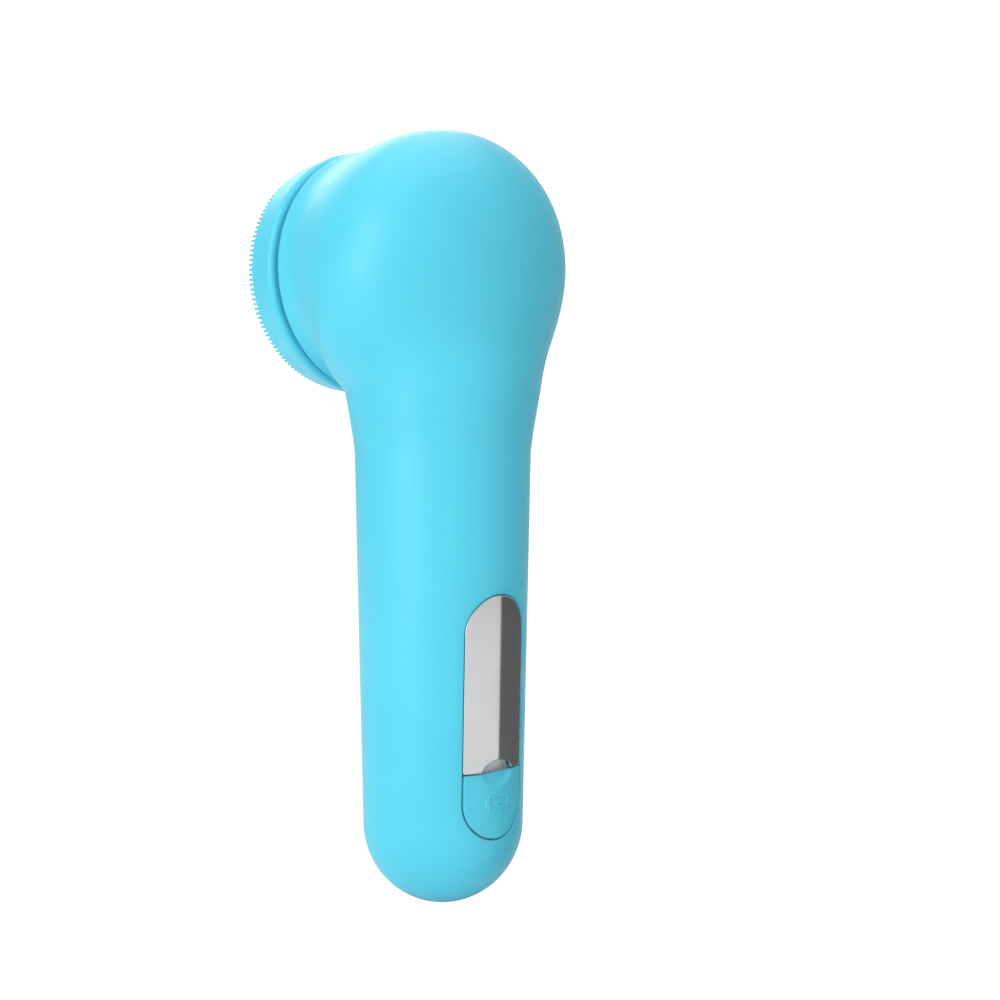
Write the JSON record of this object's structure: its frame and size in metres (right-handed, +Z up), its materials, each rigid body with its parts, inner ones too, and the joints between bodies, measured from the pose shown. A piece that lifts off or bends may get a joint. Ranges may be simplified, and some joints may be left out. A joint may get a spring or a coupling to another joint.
{
  "type": "facial cleansing brush",
  "caption": "Cordless facial cleansing brush: round tapered silicone handle, angled bulb head with a turning bristled disc, steel back plate and hinged charging port cover.",
  "frame": {"origin": "lowest point of the handle, on the handle's axis", "axes": "+Z up the handle, -Y the way the brush faces, +Y the side of the charging window, +X the handle's left seen from behind"},
  "size_m": [0.0592, 0.0599, 0.1623],
  "materials": {
    "skin": "soft-touch silicone",
    "abs": "moulded",
    "inner_abs": "moulded",
    "nylon": "moulded gears",
    "dark_plastic": "moulded",
    "steel_plate": "polished",
    "steel": "machined",
    "brass": "machined",
    "board": "solder mask",
    "clear": "clear moulding",
    "cell": "shrink sleeve",
    "wire_red": "insulation",
    "wire_black": "insulation",
    "rubber_black": "lip seal"
  },
  "bodies": {
    "housing": {"skin": "skin", "shell_left": "inner_abs", "shell_right": "inner_abs", "shell_screws": "steel", "back_plate": "steel_plate", "charge_jack": "dark_plastic", "jack_contact": "brass", "main_board": "board", "board_chips": "dark_plastic", "switch_board": "board", "tact_switch": "dark_plastic", "light_pipe": "clear", "battery_cell": "cell", "cell_contacts": "steel", "cell_cradle": "inner_abs", "motor_can": "steel", "motor_cap": "dark_plastic", "gear_pin": "steel", "gearbox_frame": "inner_abs", "frame_screws": "steel", "front_bush": "brass", "shaft_seal": "rubber_black", "motor_wires": "wire_red", "power_wires": "wire_black"},
    "cover": {"port_cover": "skin"},
    "button": {"power_button": "skin", "switch_plunger": "inner_abs"},
    "drive": {"spindle": "steel", "output_gear": "nylon"},
    "brush_head": {"brush_carrier": "abs", "brush_pad": "skin"},
    "idler": {"compound_gear": "nylon"},
    "rotor": {"motor_shaft": "steel", "motor_pinion": "brass"}
  },
  "joints": [
    {"name": "brush_spin", "type": "hinge", "parent": "housing", "child": "drive", "pos_m": [0, -0.0228, 0.1352], "axis": [0, -0.9973, 0.0732], "continuous": true},
    {"name": "brush_pull", "type": "slide", "parent": "drive", "child": "brush_head", "axis": [0, -0.9973, 0.0732], "range_m": [0, 0.012]},
    {"name": "idler_spin", "type": "hinge", "parent": "housing", "child": "idler", "pos_m": [0, -0.02185, 0.14816], "axis": [0, -0.9973, 0.0732], "continuous": true},
    {"name": "motor_spin", "type": "hinge", "parent": "housing", "child": "rotor", "pos_m": [0, -0.00086, 0.13359], "axis": [0, -0.9973, 0.0732], "continuous": true},
    {"name": "cover_hinge", "type": "hinge", "parent": "housing", "child": "cover", "pos_m": [0, 0.01695, 0.01595], "axis": [-1, 0, 0], "range_deg": [0, 110]},
    {"name": "button_press", "type": "slide", "parent": "housing", "child": "button", "axis": [0, 1, 0], "range_m": [0, 0.0004], "stiffness_N_per_m": 1500, "springref_m": -0.0004}
  ],
  "couplings": [
    {"joint": "idler_spin", "follows": "brush_spin", "ratio": -3.3333},
    {"joint": "motor_spin", "follows": "brush_spin", "ratio": 11.111}
  ]
}
